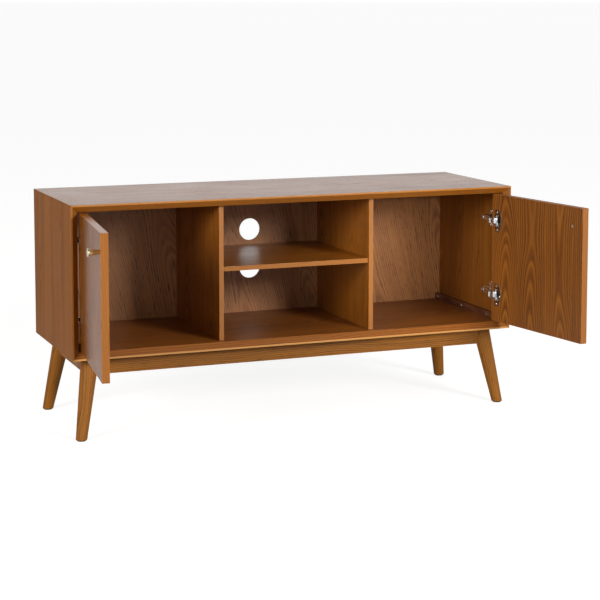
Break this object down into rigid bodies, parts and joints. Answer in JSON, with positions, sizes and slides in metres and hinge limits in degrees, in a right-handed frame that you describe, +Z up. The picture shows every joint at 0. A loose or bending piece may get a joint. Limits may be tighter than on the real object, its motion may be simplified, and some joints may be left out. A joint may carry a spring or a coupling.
{
  "type": "tv stand with doors",
  "caption": "Low media cabinet: mitred box with a bevelled front rim, open centre bays with a shelf, a hinged door over each side bay, and splayed round legs joined by aprons.",
  "frame": {"origin": "on the floor under the middle of the box", "axes": "+X to the cabinet's right along its length as seen from the front, +Y to the back, +Z up"},
  "size_m": [1.2901, 0.7539, 0.588],
  "materials": {
    "veneer": "satin brown-stained veneer",
    "base_wood": "satin brown-stained solid wood",
    "dowel_wood": "plain beech",
    "brass": "satin",
    "nickel": "bright nickel plate",
    "zinc": "zinc plated",
    "glide": "matt"
  },
  "bodies": {
    "cabinet": {"top_panel": "veneer", "bottom_panel": "veneer", "left_side_panel": "veneer", "right_side_panel": "veneer", "left_divider": "veneer", "right_divider": "veneer", "shelf": "veneer", "back_panel": "veneer", "left_cleat": "veneer", "right_cleat": "veneer", "front_apron": "base_wood", "rear_apron": "base_wood", "left_apron": "base_wood", "right_apron": "base_wood", "left_front_leg": "base_wood", "right_front_leg": "base_wood", "left_rear_leg": "base_wood", "right_rear_leg": "base_wood", "mitre_dowels": "dowel_wood", "divider_dowels": "dowel_wood", "apron_dowels": "dowel_wood", "left_hinge_plates": "nickel", "right_hinge_plates": "nickel", "left_hinge_arms": "nickel", "right_hinge_arms": "nickel", "left_hinge_arm_pins": "nickel", "right_hinge_arm_pins": "nickel", "left_hinge_arm_screws": "nickel", "right_hinge_arm_screws": "nickel", "left_hinge_plate_screws": "nickel", "right_hinge_plate_screws": "nickel", "shelf_pins": "nickel", "back_panel_screws": "zinc", "cleat_screws": "zinc", "bracket_screws": "zinc", "apron_screws": "zinc", "leg_bolts": "zinc", "corner_brackets": "zinc", "leg_glides": "glide"},
    "left_door": {"left_door": "veneer", "left_knob": "brass", "left_knob_screw": "zinc", "left_hinge_cups": "nickel", "left_hinge_cup_screws": "nickel", "left_hinge_cup_pins": "nickel"},
    "right_door": {"right_door": "veneer", "right_knob": "brass", "right_knob_screw": "zinc", "right_hinge_cups": "nickel", "right_hinge_cup_screws": "nickel", "right_hinge_cup_pins": "nickel"},
    "left_links": {"left_hinge_links": "nickel"},
    "right_links": {"right_hinge_links": "nickel"}
  },
  "joints": [
    {"name": "left_door_hinge", "type": "hinge", "parent": "cabinet", "child": "left_door", "pos_m": [-0.5705, -0.185, 0.396], "axis": [0, 0, -1], "range_deg": [-96.9, 13.1]},
    {"name": "right_door_hinge", "type": "hinge", "parent": "cabinet", "child": "right_door", "pos_m": [0.5705, -0.185, 0.396], "axis": [0, 0, 1], "range_deg": [-98.5, 11.5]},
    {"name": "left_link_pivot", "type": "hinge", "parent": "left_door", "child": "left_links", "pos_m": [-0.56179, -0.1921, 0.396], "axis": [0, 0, -1], "range_deg": [-3, 16]},
    {"name": "right_link_pivot", "type": "hinge", "parent": "right_door", "child": "right_links", "pos_m": [0.56199, -0.19234, 0.396], "axis": [0, 0, 1], "range_deg": [-3, 16]}
  ],
  "couplings": [
    {"joint": "left_link_pivot", "follows": "left_door_hinge", "ratio": -0.153},
    {"joint": "right_link_pivot", "follows": "right_door_hinge", "ratio": -0.153}
  ]
}
